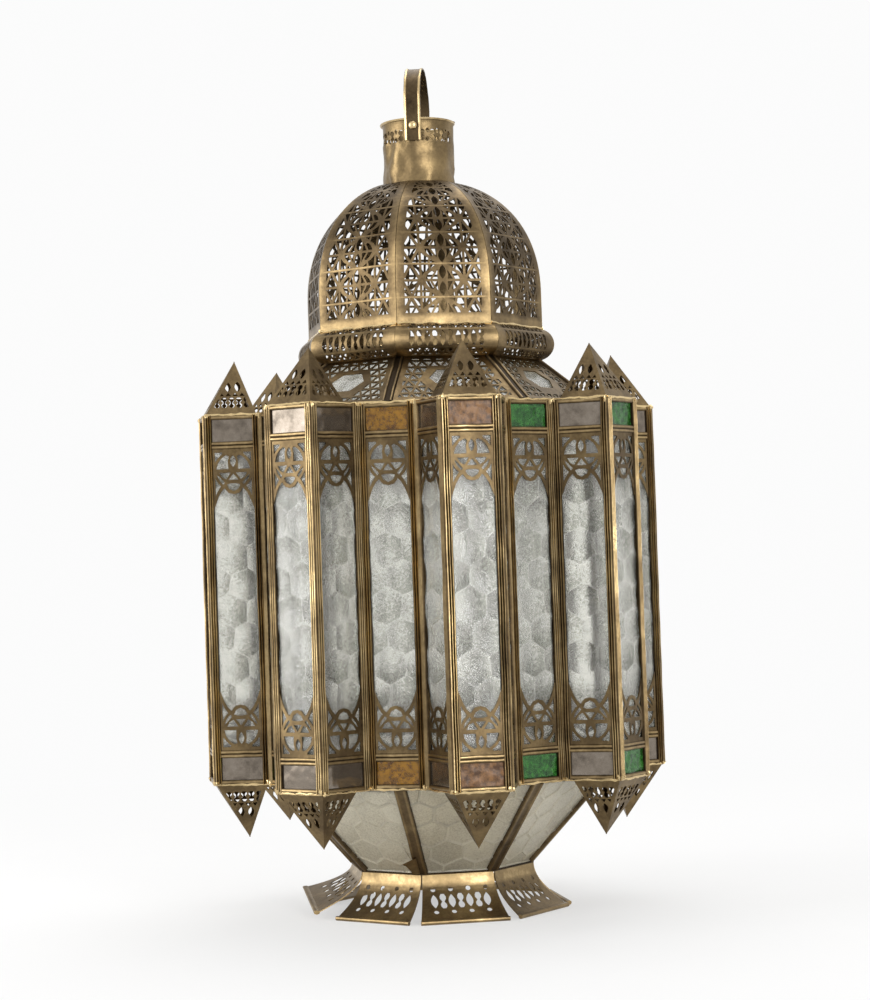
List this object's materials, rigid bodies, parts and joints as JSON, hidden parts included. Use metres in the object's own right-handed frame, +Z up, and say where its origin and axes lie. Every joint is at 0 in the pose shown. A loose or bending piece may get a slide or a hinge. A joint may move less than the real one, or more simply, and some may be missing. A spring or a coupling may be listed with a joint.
{
  "type": "candle lantern",
  "caption": "Hanging candle lantern with a turreted body of framed hammered glass, pierced brass dome, collar and strap loop, glass taper and petal foot, and a hinged door to the candle cup.",
  "frame": {"origin": "centre of the plane under the foot petals, on the lantern's vertical axis", "axes": "+Z up along the lantern's axis, -Y out through the front turret, door behind towards +Y"},
  "size_m": [0.3696, 0.3696, 0.6859],
  "materials": {
    "brass": "aged, hand-worked sheet",
    "clear_glass": "hammered, translucent",
    "mirror_glass": "smoked, smooth",
    "amber_glass": "textured",
    "green_glass": "textured",
    "rose_glass": "textured"
  },
  "bodies": {
    "lantern": {"amber_panes": "amber_glass", "bay_frames": "brass", "candle_cup": "brass", "dome_gore_1": "brass", "dome_gore_2": "brass", "dome_gore_3": "brass", "dome_gore_4": "brass", "dome_gore_5": "brass", "dome_gore_6": "brass", "dome_gore_7": "brass", "dome_gore_8": "brass", "floor_plate": "brass", "foot_petals": "brass", "green_panes": "green_glass", "hinge_knuckles": "brass", "hinge_pins": "brass", "long_panes": "clear_glass", "loop_rivets": "brass", "lower_eave": "brass", "mirror_panes": "mirror_glass", "neck_collar": "brass", "ring_bead": "brass", "roof_fretwork": "brass", "roof_panes": "clear_glass", "roof_ribs": "brass", "rose_panes": "rose_glass", "spandrel_fretwork": "brass", "taper_panes": "clear_glass", "taper_ribs": "brass", "turret_cap_1": "brass", "turret_cap_2": "brass", "turret_cap_3": "brass", "turret_cap_4": "brass", "turret_cap_5": "brass", "turret_cap_6": "brass", "turret_cap_7": "brass", "turret_cap_8": "brass", "turret_frame_1": "brass", "turret_frame_2": "brass", "turret_frame_3": "brass", "turret_frame_4": "brass", "turret_frame_5": "brass", "turret_frame_6": "brass", "turret_frame_7": "brass", "turret_frame_8": "brass", "turret_pendant_1": "brass", "turret_pendant_2": "brass", "turret_pendant_3": "brass", "turret_pendant_4": "brass", "turret_pendant_5": "brass", "turret_pendant_6": "brass", "turret_pendant_7": "brass", "turret_pendant_8": "brass", "upper_eave": "brass"},
    "bail": {"hanging_loop": "brass"},
    "door": {"door_frame": "brass", "door_glass": "clear_glass", "door_small_panes": "amber_glass", "door_fretwork": "brass", "door_pull": "brass"}
  },
  "joints": [
    {"name": "bail_swing", "type": "hinge", "parent": "lantern", "child": "bail", "pos_m": [0, 0, 0.6339], "axis": [-0.2924, -0.9563, 0], "range_deg": [-120, 120]},
    {"name": "door_swing", "type": "hinge", "parent": "lantern", "child": "door", "pos_m": [0.07548, 0.12865, 0.256], "axis": [0, 0, -1], "range_deg": [0, 110]}
  ]
}
